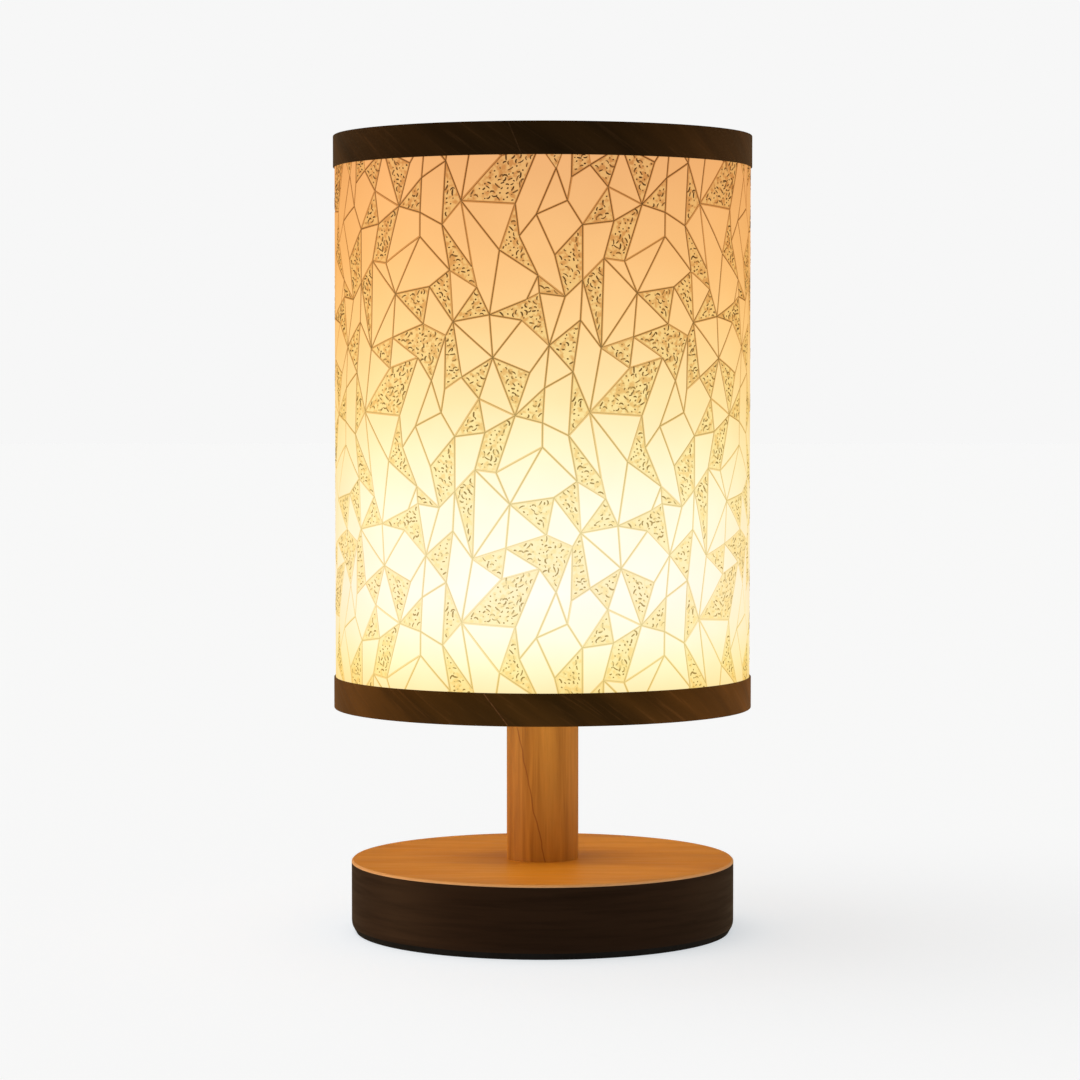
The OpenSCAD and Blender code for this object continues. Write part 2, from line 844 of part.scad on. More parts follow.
foot_pad();
base_disc();
base_top_layer();
post();
threaded_tube();
tube_nut();
tube_washer();
seat_washer();
cord_bush();
terminal_block();
terminal_sleeves();
terminal_screws();
block_fixing_screw();
lead_live();
lead_neutral();
holder_cap();
cap_grub_screw();
holder_body();
holder_insert();
screw_shell();
centre_contact();
holder_terminals();
holder_terminal_screws();
shade_spider();
upper_hoop();
shade_sheet();
seam_strip();
top_band();
bottom_band();
shade_ring();
bulb_tip();
bulb_insulator();
bulb_cap();
bulb_collar();
bulb_led_board();
bulb_led_chips();
bulb_driver_board();
bulb_globe();
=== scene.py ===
"""Small drum-shade table lamp, lit: materials, shard pattern and fine detail round the CAD frame.

Metres, +Z up, front towards -Y. Names ending in _MM are millimetres.
"""
import math
import random

import bmesh
import bpy
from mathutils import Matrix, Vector
from mathutils.geometry import delaunay_2d_cdt


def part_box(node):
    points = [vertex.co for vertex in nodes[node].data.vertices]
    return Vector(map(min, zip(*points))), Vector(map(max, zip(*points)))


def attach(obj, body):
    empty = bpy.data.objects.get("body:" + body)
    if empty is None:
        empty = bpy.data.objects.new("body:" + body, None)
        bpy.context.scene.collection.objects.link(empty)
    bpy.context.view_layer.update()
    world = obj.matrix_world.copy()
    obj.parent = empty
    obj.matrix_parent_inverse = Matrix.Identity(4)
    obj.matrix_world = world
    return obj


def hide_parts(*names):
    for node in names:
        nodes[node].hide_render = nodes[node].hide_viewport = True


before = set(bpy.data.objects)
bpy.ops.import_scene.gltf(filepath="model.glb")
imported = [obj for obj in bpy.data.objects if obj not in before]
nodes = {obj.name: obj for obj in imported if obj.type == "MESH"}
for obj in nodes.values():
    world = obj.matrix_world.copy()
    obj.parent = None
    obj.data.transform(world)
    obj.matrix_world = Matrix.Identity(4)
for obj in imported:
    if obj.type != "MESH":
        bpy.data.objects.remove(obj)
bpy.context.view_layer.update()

MM = 0.001
TURN = 2 * math.pi


# ---------------------------------------------------------------- small helpers

def linear(red, green, blue, alpha=1.0):
    """A display colour, 0 to 255, as linear RGBA."""
    def one(c):
        c /= 255
        return c / 12.92 if c <= 0.04045 else ((c + 0.055) / 1.055) ** 2.4
    return (one(red), one(green), one(blue), alpha)


def add_node(tree, kind, inputs=None, **settings):
    """A shader node, with its settings and its inputs set or linked."""
    made = tree.nodes.new(kind)
    for key, value in settings.items():
        setattr(made, key, value)
    for key, value in (inputs or {}).items():
        if isinstance(value, bpy.types.NodeSocket):
            tree.links.new(value, made.inputs[key])
        else:
            made.inputs[key].default_value = value
    return made


def new_material(name, **sockets):
    """A Principled material; sockets are given by name with underscores for spaces."""
    material = bpy.data.materials.new(name)
    material.use_nodes = True
    shader = material.node_tree.nodes["Principled BSDF"]
    for key, value in sockets.items():
        shader.inputs[key.replace("_", " ")].default_value = value
    return material, material.node_tree, shader


def object_coords(tree):
    """Coordinates of the surface point in the object's own frame, which is the lamp's."""
    return add_node(tree, "ShaderNodeTexCoord").outputs["Object"]


def split_coords(tree):
    """X, Y and Z of the surface point, as the outputs of one node."""
    return add_node(tree, "ShaderNodeSeparateXYZ", {"Vector": object_coords(tree)}).outputs


def stretched(tree, scale, turn=(0, 0, 0)):
    """Object coordinates turned, then stretched by a scale along each axis."""
    return add_node(tree, "ShaderNodeMapping", {
        "Vector": object_coords(tree), "Scale": scale, "Rotation": turn}).outputs["Vector"]


def noise(tree, vector, detail=3.0, roughness=0.5, distortion=0.0):
    """Noise from 0 to 1 at coordinates that are already scaled."""
    return add_node(tree, "ShaderNodeTexNoise", {
        "Vector": vector, "Scale": 1.0, "Detail": detail,
        "Roughness": roughness, "Distortion": distortion}).outputs["Fac"]


def math_node(tree, operation, first, second=0.0):
    """One sum on one or two values."""
    return add_node(tree, "ShaderNodeMath", {0: first, 1: second}, operation=operation).outputs[0]


def spread(tree, value, low, high, out_low=0.0, out_high=1.0, smooth=False):
    """value mapped from low..high to out_low..out_high, clamped."""
    kind = "SMOOTHSTEP" if smooth else "LINEAR"
    return add_node(tree, "ShaderNodeMapRange", {
        "Value": value, "From Min": low, "From Max": high,
        "To Min": out_low, "To Max": out_high}, interpolation_type=kind).outputs["Result"]


def mixed(tree, factor, first, second, blend="MIX"):
    """Two colours mixed or multiplied by a factor."""
    made = tree.nodes.new("ShaderNodeMix")
    made.data_type = "RGBA"
    made.blend_type = blend
    for key, value in ((0, factor), (6, first), (7, second)):
        if isinstance(value, bpy.types.NodeSocket):
            tree.links.new(value, made.inputs[key])
        else:
            made.inputs[key].default_value = value
    return made.outputs[2]


def bumped(tree, shader, height, strength, distance):
    """Bump the surface by a height."""
    bump = add_node(tree, "ShaderNodeBump", {
        "Height": height, "Strength": strength, "Distance": distance})
    tree.links.new(bump.outputs["Normal"], shader.inputs["Normal"])


def connect(tree, value, shader, socket):
    """Link a value to a named socket of the shader."""
    tree.links.new(value, shader.inputs[socket])


def paint(material, *names):
    """Give CAD nodes a material."""
    for name in names:
        mesh = nodes[name].data
        mesh.materials.clear()
        mesh.materials.append(material)


def smooth_mesh(mesh, sharp_degrees):
    """Smooth shading with edges kept sharp from this angle up."""
    mesh.shade_smooth()
    mesh.set_sharp_from_angle(angle=math.radians(sharp_degrees))


def new_piece(name, mesh, body, slot, *replaced):
    """A mesh object that rides on a body and may stand for CAD nodes, which it hides; slot is not used.
    """
    piece = bpy.data.objects.new(name, mesh)
    bpy.context.scene.collection.objects.link(piece)
    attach(piece, body)
    if replaced:
        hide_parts(*replaced)
    return piece


# ---------------------------------------------------------------- sizes from the frame

sheet_low, sheet_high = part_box("shade_sheet")
lower_low, lower_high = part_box("bottom_band")
upper_low, upper_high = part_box("top_band")
body_low, body_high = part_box("holder_body")
cap_low, cap_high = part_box("bulb_cap")
globe_low, globe_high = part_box("bulb_globe")
base_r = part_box("base_top_layer")[1].x
disc_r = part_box("base_disc")[1].x
ring_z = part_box("shade_ring")[0].z
terminals_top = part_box("holder_terminals")[1].z

SHEET_R = sheet_high.x
SHEET_T = 0.5 * MM
BAND_R = 65 * MM


# ---------------------------------------------------------------- shade materials

# Colour of a lit plain shard at heights above the table, in millimetres
GLOW = [
    (79, (253, 236, 180)), (87, (254, 250, 206)), (96, (254, 254, 232)), (109, (255, 255, 247)),
    (134, (254, 254, 234)), (151, (254, 246, 205)), (165, (253, 232, 177)), (187, (249, 210, 147)),
    (208, (242, 190, 126)), (239, (229, 170, 113)),
]

# Varnish over the sheet: it warms the light more, the more slantwise it leaves
COAT_TINT = (0.97, 0.885, 0.70, 1)


def height_factor(tree, low, high):
    """0 at height low, 1 at height high, metres above the table."""
    return spread(tree, split_coords(tree)["Z"], low, high)


def ramp(tree, factor, stops):
    """A colour ramp over stops of (place, linear colour)."""
    made = add_node(tree, "ShaderNodeValToRGB", {"Fac": factor})
    elements = made.color_ramp.elements
    while len(elements) > 1:
        elements.remove(elements[-1])
    elements[0].position, elements[0].color = stops[0]
    for place, colour in stops[1:]:
        elements.new(place).color = colour
    return made.outputs["Color"]


def glow_colour(tree):
    """The sheet's glow, a little stronger by as much as its varnish takes away head-on."""
    low, high = GLOW[0][0], GLOW[-1][0]
    stops = [((z - low) / (high - low), tuple(c / t for c, t in zip(linear(*colour), COAT_TINT)))
             for z, colour in GLOW]
    return ramp(tree, height_factor(tree, low * MM, high * MM), stops)


def mix_colours(first, second, share):
    """A plain colour this share of the way from the first to the second."""
    return tuple(a + (b - a) * share for a, b in zip(first, second))


def tint_by_height(tree, top, hot):
    """A tint that is top at the shade's upper rim and hot where the bulb is."""
    stops = [(0.0, mix_colours(top, hot, 0.75)), (0.17, hot), (0.34, hot),
             (0.62, mix_colours(top, hot, 0.25)), (1.0, top)]
    return ramp(tree, height_factor(tree, lower_low.z, upper_high.z), stops)


# Share of a plain shard's glow that gets through, at the top rim and beside the bulb
AMBER_TINT = ((0.64, 0.50, 0.34, 1), (0.95, 0.84, 0.58, 1))
CORE_TINT = ((0.12, 0.09, 0.06, 1), (0.78, 0.66, 0.38, 1))
INK_TINT = ((0.075, 0.055, 0.035, 1), (0.44, 0.32, 0.15, 1))
PALE_INK_TINT = ((0.28, 0.21, 0.13, 1), (0.80, 0.67, 0.38, 1))
GROUND_TINT = ((0.90, 0.96, 0.85, 1), (0.96, 0.89, 0.62, 1))
BLOTCH_TINT = ((0.64, 0.51, 0.35, 1), (0.95, 0.79, 0.45, 1))

# Share of the light that the strip behind the sheet's joint lets through, and half its width
SEAM_TINT = (0.80, 0.72, 0.60, 1)
SEAM_HALF_W = 5 * MM
SEAM_BLUR = 0.2 * MM


def behind_seam(tree):
    """1 over the strip that backs the sheet's joint at the back, else 0."""
    at = split_coords(tree)
    near = spread(tree, math_node(tree, "ABSOLUTE", at["X"]),
                  SEAM_HALF_W - SEAM_BLUR, SEAM_HALF_W + SEAM_BLUR, 1.0, 0.0)
    return math_node(tree, "MULTIPLY", near, spread(tree, at["Y"], 0.0, 1 * MM))


def lit_material(name, base, tint=None, blotch=None, roughness=0.42):
    """Sheet material that glows by height, with an optional tint and soft blotches of another tint."""
    material, tree, shader = new_material(
        name, Base_Color=base, Roughness=roughness, Specular_IOR_Level=0.1, Emission_Strength=1.0,
        Coat_Weight=1.0, Coat_IOR=1.12, Coat_Roughness=0.5, Coat_Tint=COAT_TINT)
    colour = glow_colour(tree)
    if tint:
        colour = mixed(tree, 1.0, colour, tint_by_height(tree, *tint), "MULTIPLY")
    cloud = spread(tree, noise(tree, stretched(tree, (55, 55, 55)), detail=2), 0.3, 0.7)
    unevenness = mixed(tree, cloud, (0.965, 0.955, 0.94, 1), (1, 1, 1, 1))
    colour = mixed(tree, 1.0, colour, unevenness, "MULTIPLY")
    if blotch:
        patch = spread(tree, noise(tree, stretched(tree, (620, 620, 620)), detail=2), 0.46, 0.62)
        dark = mixed(tree, 1.0, glow_colour(tree), tint_by_height(tree, *blotch), "MULTIPLY")
        colour = mixed(tree, patch, colour, dark)
    # Painted shadow: the strip behind the joint dims the glow over it.
    colour = mixed(tree, behind_seam(tree), colour, SEAM_TINT, "MULTIPLY")
    connect(tree, colour, shader, "Emission Color")
    grain = noise(tree, stretched(tree, (900, 900, 900)), detail=3)
    bumped(tree, shader, grain, 0.15, 0.05 * MM)
    return material


plain_sheet = lit_material("sheet_plain", (0.16, 0.085, 0.035, 1))
speckled_sheet = lit_material("sheet_speckled", (0.15, 0.085, 0.035, 1), GROUND_TINT, BLOTCH_TINT, 0.5)
amber_line = lit_material("sheet_amber_line", (0.13, 0.06, 0.022, 1), AMBER_TINT)
core_line = lit_material("sheet_dark_line", (0.03, 0.016, 0.007, 1), CORE_TINT)
ink = lit_material("sheet_ink", (0.02, 0.011, 0.005, 1), INK_TINT, PALE_INK_TINT)


# ---------------------------------------------------------------- shard pattern

# One repeat of the pattern, the corner points that it has and the shards that they make
REPEAT_U_MM = 76.9
REPEAT_V_MM = 62.0
SEEDS_PER_REPEAT = 44
SHARDS_PER_REPEAT = 60
# Least and most elbow room of a corner point, and how all shrink when one does not fit
ROOM_MM = (2.6, 9.5)
ROOM_SHRINK = 0.9995
# Heights are squeezed by this while points are placed and joined, so shards come out tall
BLADE_STRETCH = 0.66
# A shard has at most this many corners, each with at least this sine of its turn
MOST_CORNERS = 5
LEAST_TURN = 0.05
SPECKLED_SHARE = 0.42
PATTERN_SEED = 5
# Pattern made past the sheet's edges before it is cut
MARGIN_MM = 45
# Lines between shards: dark core, amber floor and slope, each measured from the middle
LINE_CORE_MM = 0.14
LINE_FLOOR_MM = 0.23
LINE_SLOPE_MM = 0.35
LINE_DEPTH_MM = 0.12
DARK_LINE_SHARE = 0.88
# Width of the upright strips that the drum's roundness is made of
STRIP_MM = 3.4
# Ink marks: room to the lines, to each other and to the sheet's edges, and tries for each mm2
INK_ROOM_MM = 0.8
INK_SPACING_MM = 1.12
INK_EDGE_MM = 1.0
INK_TRIES = 2.2
DOT_SHARE = 0.4


def lattice(i, j):
    """Offset of repeat i, j: a half-drop pattern."""
    return (REPEAT_U_MM * (i + 0.5 * j), REPEAT_V_MM * j)


def seed_points(rng):
    """Points of one repeat, each with its own elbow room, in millimetres."""
    points = []
    rooms = []
    while len(points) < SEEDS_PER_REPEAT:
        u, v = rng.uniform(0, REPEAT_U_MM), rng.uniform(0, REPEAT_V_MM)
        room = rng.uniform(*ROOM_MM)
        near = False
        for (pu, pv), other in zip(points, rooms):
            for i in (-2, -1, 0, 1, 2):
                for j in (-1, 0, 1):
                    du, dv = lattice(i, j)
                    if math.hypot(u - pu - du, (v - pv - dv) * BLADE_STRETCH) < (room + other) / 2:
                        near = True
        if near:
            rooms = [r * ROOM_SHRINK for r in rooms]
        else:
            points.append((u, v))
            rooms.append(room)
    return points


def settle(labels):
    """The same labelled points, counted from the repeat of the first of them: equal for every copy."""
    first = min(labels)
    return tuple(sorted((k, i - first[1], j - first[2]) for k, i, j in labels))


def turn_left(a, b, c):
    """Above 0 where the way from a through b to c turns left."""
    return (b[0] - a[0]) * (c[1] - b[1]) - (b[1] - a[1]) * (c[0] - b[0])


def is_convex(points):
    """Whether every corner turns left by a clear angle."""
    for a, b, c in zip(points[-1:] + points[:-1], points, points[1:] + points[:1]):
        if turn_left(a, b, c) < LEAST_TURN * math.dist(a, b) * math.dist(b, c):
            return False
    return True


def join_faces(first, second):
    """The outline of two faces that share one edge, or None."""
    shared = set(first) & set(second)
    if len(shared) != 2:
        return None
    for n in range(len(first)):
        a, b = first[n], first[(n + 1) % len(first)]
        if a in shared and b in shared:
            start = (n + 1) % len(first)
            around = [first[(start + k) % len(first)] for k in range(len(first))]
            m = second.index(around[-1])
            other = [second[(m + k) % len(second)] for k in range(len(second))]
            return around + [p for p in other if p not in shared]
    return None


def repeated(seeds, width, height):
    """Copies of the seeds over the sheet and its margin: labels (seed, i, j) and places."""
    labels = []
    points = []
    for j in range(-2, int(height / REPEAT_V_MM) + 2):
        for i in range(-4, int(width / REPEAT_U_MM) + 4):
            du, dv = lattice(i, j)
            for k, (u, v) in enumerate(seeds):
                across, up = u + du, v + dv
                if -MARGIN_MM < across < width + MARGIN_MM and -MARGIN_MM < up < height + MARGIN_MM:
                    labels.append((k, i, j))
                    points.append((across, up))
    return labels, points


def triangles(points):
    """Delaunay triangles over the points, each turning left: {number: corner numbers}."""
    flat = [Vector((u, v * BLADE_STRETCH)) for u, v in points]
    result = delaunay_2d_cdt(flat, [], [], 0, 1e-6)
    origin = [ids[0] for ids in result[3]]
    faces = {}
    for n, corners in enumerate(result[2]):
        face = [origin[v] for v in corners]
        faces[n] = face[::-1] if turn_left(*(points[v] for v in face)) < 0 else face
    return faces


def sort_edges(faces, labels):
    """The faces beside each edge, and the edges that are copies of one another."""
    beside = {}
    for n, face in faces.items():
        for edge in zip(face, face[1:] + face[:1]):
            beside.setdefault(frozenset(edge), []).append(n)
    copies = {}
    for edge in sorted(beside, key=sorted):
        if len(beside[edge]) == 2:
            copies.setdefault(settle([labels[v] for v in edge]), []).append(edge)
    return beside, copies


def shard_faces(rng, width, height):
    """Convex shards over the sheet: (outline, key, labels), the key equal for copies of one shard."""
    labels, points = repeated(seed_points(rng), width, height)
    faces = triangles(points)
    beside, copies = sort_edges(faces, labels)
    keys = sorted(key for key, edges in copies.items() if len(edges) >= 4)
    rng.shuffle(keys)
    home = {n: n for n in faces}
    joins_left = 2 * SEEDS_PER_REPEAT - SHARDS_PER_REPEAT
    middle = (width / 2, height / 2)

    def face_of(n):
        while home[n] != n:
            n = home[n]
        return n

    def joined(edge):
        """The two faces beside an edge, and the outline of both together or None."""
        first, second = (face_of(n) for n in beside[edge])
        return first, second, join_faces(faces[first], faces[second]) if first != second else None

    for key in keys:
        if joins_left == 0:
            break
        trial = min(copies[key], key=lambda edge: sum(math.dist(points[v], middle) for v in edge))
        outline = joined(trial)[2]
        if outline is None or len(outline) > MOST_CORNERS or not is_convex([points[v] for v in outline]):
            continue
        joins_left -= 1
        for edge in copies[key]:
            first, second, outline = joined(edge)
            if outline:
                faces[first] = outline
                del faces[second]
                home[second] = first
    return [([points[v] for v in face], settle([labels[v] for v in face]), [labels[v] for v in face])
            for face in faces.values()]


def area_of(points):
    """Area of an outline that turns left."""
    return 0.5 * sum(a[0] * b[1] - b[0] * a[1] for a, b in zip(points, points[1:] + points[:1]))


def choose_speckled(rng, shards):
    """Keys of the shards to speckle, small ones first and few side by side, and of edges between two."""
    area = {}
    beside = {}
    edges = {}
    for outline, key, labels in shards:
        area[key] = area_of(outline)
        for a, b in zip(labels, labels[1:] + labels[:1]):
            edges.setdefault(settle([a, b]), set()).add(key)
    for keys in edges.values():
        for key in keys:
            beside.setdefault(key, set()).update(keys - {key})
    order = sorted(sorted(area), key=lambda key: area[key] * rng.uniform(0.3, 1.7))
    chosen = set()
    goal = SPECKLED_SHARE * REPEAT_U_MM * REPEAT_V_MM
    filled = 0.0
    for most_beside in (0, 1, 2, 3):
        for key in order:
            if filled < goal and key not in chosen and len(beside[key] & chosen) <= most_beside:
                chosen.add(key)
                filled += area[key]
    return chosen, {edge for edge, keys in edges.items() if keys <= chosen}


def clip(points, axis, limit, keep_above):
    """A convex outline cut by a line across one axis."""
    kept = []
    for a, b in zip(points, points[1:] + points[:1]):
        inside_a = (a[axis] >= limit) == keep_above
        inside_b = (b[axis] >= limit) == keep_above
        if inside_a:
            kept.append(a)
        if inside_a != inside_b:
            t = (limit - a[axis]) / (b[axis] - a[axis])
            kept.append(tuple(p + (q - p) * t for p, q in zip(a, b)))
    return kept


def bare_sides(outline, labels, bare):
    """The sides of a shard that have no line, because the speckles run on into the next one."""
    sides = zip(outline, outline[1:] + outline[:1], labels, labels[1:] + labels[:1])
    return [(a, b) for a, b, first, second in sides if settle([first, second]) in bare]


def lies_on(sides, a, b):
    """Whether a to b is part of one of the sides."""
    return any(max(abs(turn_left(c, d, a)), abs(turn_left(c, d, b))) < 1e-3 * math.dist(c, d)
               for c, d in sides)


def cut_to_sheet(outline, width, height):
    """The part of a convex shard that lies on the sheet, without doubled points, or None."""
    for axis, limit, keep_above in ((0, 0, True), (0, width, False), (1, 0, True), (1, height, False)):
        if outline:
            outline = clip(outline, axis, limit, keep_above)
    shortest, smallest = 0.02, 0.05
    kept = [p for n, p in enumerate(outline) if math.dist(p, outline[n - 1]) > shortest]
    return kept if len(kept) >= 3 and area_of(kept) > smallest else None


def inset(points, distance):
    """The outline moved inwards, or by less where it is too narrow."""
    count = len(points)
    for _ in range(12):
        moved = []
        for n in range(count):
            a, b, c = points[n - 1], points[n], points[(n + 1) % count]
            to_b = ((b[0] - a[0]) / math.dist(a, b), (b[1] - a[1]) / math.dist(a, b))
            to_c = ((c[0] - b[0]) / math.dist(b, c), (c[1] - b[1]) / math.dist(b, c))
            cross = to_b[0] * to_c[1] - to_b[1] * to_c[0]
            along = distance / max(cross, 1e-3)
            moved.append((b[0] + (to_c[0] - to_b[0]) * along, b[1] + (to_c[1] - to_b[1]) * along))
        sides = zip(points, points[1:] + points[:1], moved, moved[1:] + moved[:1])
        if all((b[0] - a[0]) * (d[0] - c[0]) + (b[1] - a[1]) * (d[1] - c[1]) > 0
               for a, b, c, d in sides):
            return moved
        distance *= 0.6
    return [tuple(sum(p[axis] for p in points) / count * 0.2 + q[axis] * 0.8 for axis in (0, 1))
            for q in points]


def on_drum(u_mm, v_mm, radius):
    """A point of the flat sheet rolled into the drum: the joint is at the back."""
    angle = math.pi / 2 + u_mm * MM / SHEET_R
    return (radius * math.cos(angle), radius * math.sin(angle), sheet_low.z + v_mm * MM)


PLAIN, SPECKLED, AMBER, CORE = range(4)


def add_shard(mesh, outline, key, unlined, is_speckled):
    """One shard on the flat sheet: its top, and the slope, floor and core of the lines round it."""
    rng = random.Random(str(key))
    rings = [[mesh.verts.new((u, v, z)) for u, v in ring] for ring, z in (
        (outline, -LINE_DEPTH_MM), (inset(outline, LINE_CORE_MM), -LINE_DEPTH_MM),
        (inset(outline, LINE_FLOOR_MM), -LINE_DEPTH_MM), (inset(outline, LINE_SLOPE_MM), 0.0))]
    count = len(outline)
    for n in range(count):
        m = (n + 1) % count
        core = CORE if rng.random() < DARK_LINE_SHARE else AMBER
        finish = (core, AMBER, AMBER)
        if lies_on(unlined, outline[n], outline[m]):
            finish = (SPECKLED, SPECKLED, SPECKLED)
        for outer, inner, index in zip(rings, rings[1:], finish):
            side = mesh.faces.new((outer[n], outer[m], inner[m], inner[n]))
            side.material_index = index
    top = mesh.faces.new(rings[3])
    top.material_index = SPECKLED if is_speckled else PLAIN


def roll_up(mesh, width):
    """Cut the flat sheet into upright strips and roll it into the drum, facing outwards."""
    strips = int(width / STRIP_MM)
    for n in range(1, strips):
        everything = mesh.verts[:] + mesh.edges[:] + mesh.faces[:]
        bmesh.ops.bisect_plane(mesh, geom=everything, plane_co=(n * width / strips, 0, 0),
                               plane_no=(1, 0, 0), dist=1e-4)
    for vert in mesh.verts:
        u, v, z = vert.co
        vert.co = on_drum(u, v, SHEET_R + z * MM)
    mesh.normal_update()
    for face in mesh.faces:
        middle = face.calc_center_median()
        if face.normal.x * middle.x + face.normal.y * middle.y < 0:
            face.normal_flip()


def build_sheet(shards, speckled, bare, width, height):
    """The embossed sheet: made flat from its shards, then rolled into the drum."""
    flat = bmesh.new()
    for outline, key, labels in shards:
        unlined = bare_sides(outline, labels, bare)
        outline = cut_to_sheet(outline, width, height)
        if outline:
            add_shard(flat, outline, key, unlined, key in speckled)
    bmesh.ops.remove_doubles(flat, verts=flat.verts, dist=0.004)
    roll_up(flat, width)
    mesh = bpy.data.meshes.new("shade_mosaic")
    flat.to_mesh(mesh)
    flat.free()
    for material in (plain_sheet, speckled_sheet, amber_line, core_line):
        mesh.materials.append(material)
    smooth_mesh(mesh, 20)
    return mesh


def inside(points, spot, room, unlined):
    """Whether a spot is inside a convex outline, at least room from every side that has a line."""
    for a, b in zip(points, points[1:] + points[:1]):
        if turn_left(a, b, spot) / math.dist(a, b) < (0 if (a, b) in unlined else room):
            return False
    return True


def dash_outline(rng, u, v, flow):
    """Outline of one ink mark: a short worm, mostly along the flow, sometimes a dot."""
    is_dot = rng.random() < DOT_SHARE
    length = rng.uniform(0.4, 0.7) if is_dot else rng.uniform(0.8, 2.0)
    width = rng.uniform(0.36, 0.60)
    bend = rng.uniform(-0.6, 0.6)
    angle = flow + rng.gauss(0, 0.6)
    stations = []
    for t in ((-0.5, 0.0, 0.5) if is_dot else (-0.5, -0.2, 0.18, 0.5)):
        turn = angle + bend * t * 2
        stations.append((u + math.cos(turn) * length * t, v + math.sin(turn) * length * t, turn,
                         width * (1 - 1.2 * abs(t) ** 1.5)))
    left = [(x - math.sin(a) * w / 2, y + math.cos(a) * w / 2) for x, y, a, w in stations]
    right = [(x + math.sin(a) * w / 2, y - math.cos(a) * w / 2) for x, y, a, w in stations]
    return right + left[::-1]


def ink_marks(outline, key, unlined):
    """The ink marks of one shard: (place, outline), strewn along a gently turning flow."""
    rng = random.Random("ink" + str(key))
    u0, v0 = min(p[0] for p in outline), min(p[1] for p in outline)
    u1, v1 = max(p[0] for p in outline), max(p[1] for p in outline)
    flow = rng.uniform(0, math.pi)
    swirl = rng.uniform(-0.12, 0.12)
    marks = []
    for _ in range(int((u1 - u0) * (v1 - v0) * INK_TRIES)):
        u, v = rng.uniform(u0, u1), rng.uniform(v0, v1)
        if inside(outline, (u, v), INK_ROOM_MM, unlined) and all(
                math.dist((u, v), place) > INK_SPACING_MM for place, mark in marks):
            marks.append(((u, v), dash_outline(rng, u, v, flow + swirl * (u - u0 + v - v0))))
    return marks


def add_mark(verts, faces, mark):
    """One ink mark as a thin solid through the sheet."""
    start = len(verts)
    size = len(mark)
    for radius in (SHEET_R + 0.05 * MM, SHEET_R - SHEET_T - 0.03 * MM):
        verts += [on_drum(u, v, radius) for u, v in mark]
    faces.append([start + n for n in range(size)])
    faces.append([start + size + n for n in reversed(range(size))])
    for n in range(size):
        m = (n + 1) % size
        faces.append([start + m, start + n, start + size + n, start + size + m])


def build_ink(shards, speckled, bare, width, height):
    """The ink marks of all speckled shards."""
    verts = []
    faces = []
    for outline, key, labels in shards:
        if key in speckled:
            for (u, v), mark in ink_marks(outline, key, bare_sides(outline, labels, bare)):
                if INK_EDGE_MM < u < width - INK_EDGE_MM and INK_EDGE_MM < v < height - INK_EDGE_MM:
                    add_mark(verts, faces, mark)
    mesh = bpy.data.meshes.new("shade_ink_marks")
    mesh.from_pydata(verts, [], faces)
    mesh.materials.append(ink)
    mesh.update()
    return mesh


def make_shade_sheet():
    """The embossed sheet and its ink, in place of the plain CAD sheet."""
    rng = random.Random(PATTERN_SEED)
    width = TURN * SHEET_R / MM
    height = (sheet_high.z - sheet_low.z) / MM
    shards = shard_faces(rng, width, height)
    speckled, bare = choose_speckled(rng, shards)
    sheet = new_piece("shade_mosaic", build_sheet(shards, speckled, bare, width, height),
                      "shade_unit", "shade_film", "shade_sheet")
    shell = sheet.modifiers.new("thickness", "SOLIDIFY")
    shell.thickness = SHEET_T - LINE_DEPTH_MM * MM
    shell.offset = -1
    shell.use_even_offset = False
    new_piece("shade_ink_marks", build_ink(shards, speckled, bare, width, height),
              "shade_unit", "shade_film")


make_shade_sheet()


# ---------------------------------------------------------------- wood

def ring_coords(tree, radius, lean=0.0):
    """Coordinates along the circumference and up, in metres; lean turns them on the surface."""
    at = split_coords(tree)
    angle = math_node(tree, "ARCTAN2", at["X"], math_node(tree, "MULTIPLY", at["Y"], -1.0))
    along = math_node(tree, "MULTIPLY", angle, radius)
    flat = add_node(tree, "ShaderNodeCombineXYZ", {"X": along, "Y": at["Z"]}).outputs["Vector"]
    leaning = add_node(tree, "ShaderNodeMapping", {"Vector": flat, "Rotation": (0, 0, lean)})
    return leaning.outputs["Vector"]


def scaled(tree, vector, scale):
    """Coordinates stretched by a scale along each axis."""
    return add_node(tree, "ShaderNodeMapping", {"Vector": vector, "Scale": scale}).outputs["Vector"]


def wood(name, deep, mid, pale, grain_scale, pore_scale, turn=(0, 0, 0), roughness=(0.38, 0.55)):
    """Satin wood: broad bands, fine fibres and dark pores, all drawn out along the grain."""
    material, tree, shader = new_material(name, Specular_IOR_Level=0.15)
    bands = noise(tree, stretched(tree, grain_scale, turn), detail=4, roughness=0.55, distortion=0.4)
    fine_scale = tuple(s * 4.5 for s in grain_scale)
    fibres = noise(tree, stretched(tree, fine_scale, turn), detail=5, roughness=0.65)
    pores = noise(tree, stretched(tree, pore_scale, turn), detail=2)
    colour = mixed(tree, spread(tree, bands, 0.3, 0.7, smooth=True), deep, pale)
    colour = mixed(tree, spread(tree, fibres, 0.35, 0.65, 0.0, 0.5), colour, mid)
    pore = spread(tree, pores, 0.66, 0.74)
    colour = mixed(tree, math_node(tree, "MULTIPLY", pore, 0.35), colour, deep)
    connect(tree, colour, shader, "Base Color")
    connect(tree, spread(tree, fibres, 0.3, 0.7, *roughness), shader, "Roughness")
    height = math_node(tree, "SUBTRACT", fibres, math_node(tree, "MULTIPLY", pore, 0.6))
    bumped(tree, shader, height, 0.25, 0.06 * MM)
    return material, tree, shader, colour


